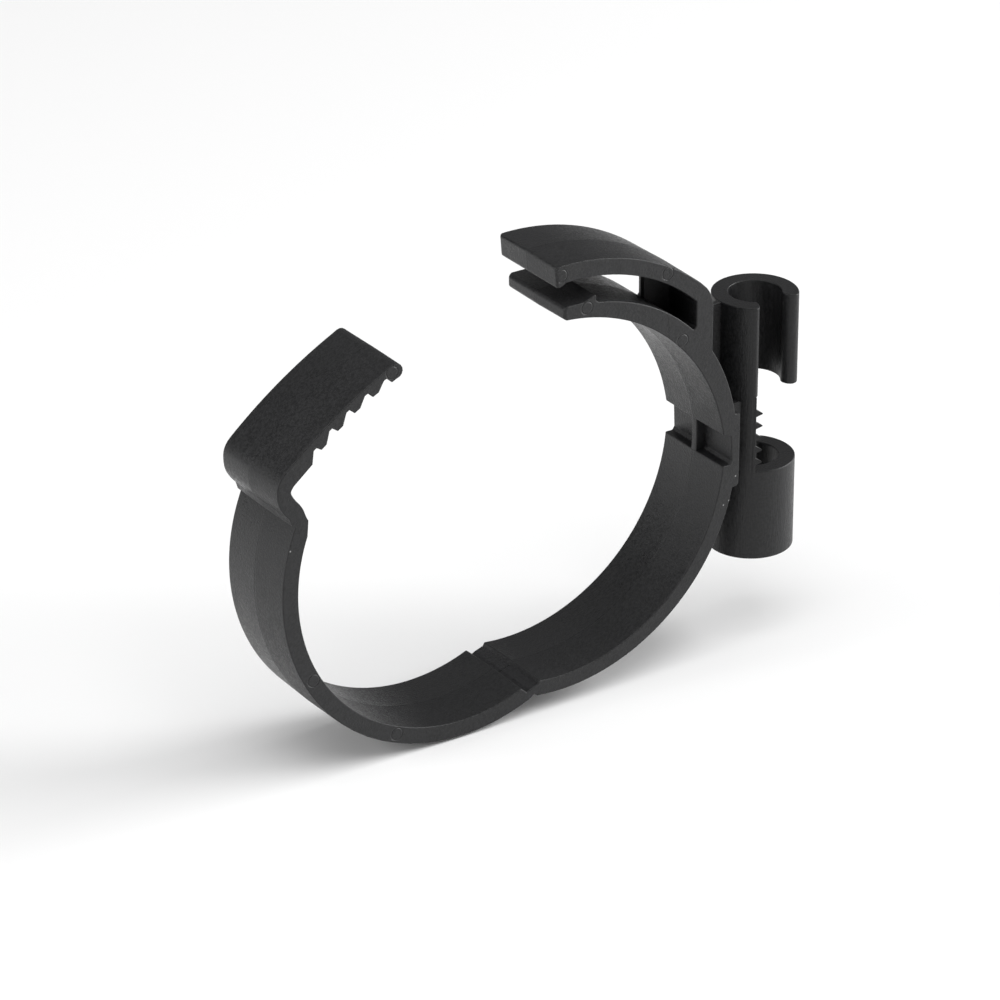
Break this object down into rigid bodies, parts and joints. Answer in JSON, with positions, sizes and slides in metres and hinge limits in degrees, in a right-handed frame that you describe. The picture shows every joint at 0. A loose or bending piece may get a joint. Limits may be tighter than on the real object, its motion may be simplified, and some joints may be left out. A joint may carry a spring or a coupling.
{
  "type": "hose clamp",
  "caption": "Hinged ratchet hose clamp: one-piece plastic ring with a toothed tongue, a two-lip catch and a pair of slotted sleeves for a rod.",
  "frame": {"origin": "centre of the fixed half's round hose seat, at mid width", "axes": "+Y along the hose, towards the back face; +Z along the rod sleeves, from the hinge side up to the catch; +X from the ring towards the sleeves"},
  "size_m": [0.0933, 0.0146, 0.0702],
  "materials": {
    "moulding": "satin charcoal black"
  },
  "bodies": {
    "fixed_half": {"clamp_arc": "moulding", "seat_pad": "moulding", "upper_jaw": "moulding", "seat_rib": "moulding", "mouth_web": "moulding", "sleeve_web": "moulding", "pad_block": "moulding", "spine": "moulding", "spine_rack": "moulding", "upper_sleeve": "moulding", "lower_sleeve": "moulding", "hinge_film": "moulding", "outer_lip_flexure": "moulding", "inner_lip_flexure": "moulding"},
    "outer_lip": {"outer_lip": "moulding", "lip_hook": "moulding"},
    "inner_lip": {"inner_lip": "moulding", "pawl_tooth": "moulding"},
    "strap": {"strap_arc": "moulding", "strap_step": "moulding", "tongue_blade": "moulding", "tongue_tip": "moulding", "ratchet_tooth_1": "moulding", "ratchet_tooth_2": "moulding", "ratchet_tooth_3": "moulding", "ratchet_tooth_4": "moulding"}
  },
  "joints": [
    {"name": "strap_close", "type": "hinge", "parent": "fixed_half", "child": "strap", "pos_m": [-0.0046, 0, -0.03], "axis": [0, 1, 0], "range_deg": [0, 33.6], "stiffness_Nm_per_rad": 0.3, "deforming": ["hinge_film"]},
    {"name": "outer_lip_flex", "type": "hinge", "parent": "fixed_half", "child": "outer_lip", "pos_m": [0.01825, 0, 0.0305], "axis": [0, 1, 0], "range_deg": [0, 4], "stiffness_Nm_per_rad": 7, "deforming": ["outer_lip_flexure"]},
    {"name": "inner_lip_flex", "type": "hinge", "parent": "fixed_half", "child": "inner_lip", "pos_m": [0.01825, 0, 0.0225], "axis": [0, -1, 0], "range_deg": [0, 6], "stiffness_Nm_per_rad": 7, "deforming": ["inner_lip_flexure"]}
  ]
}
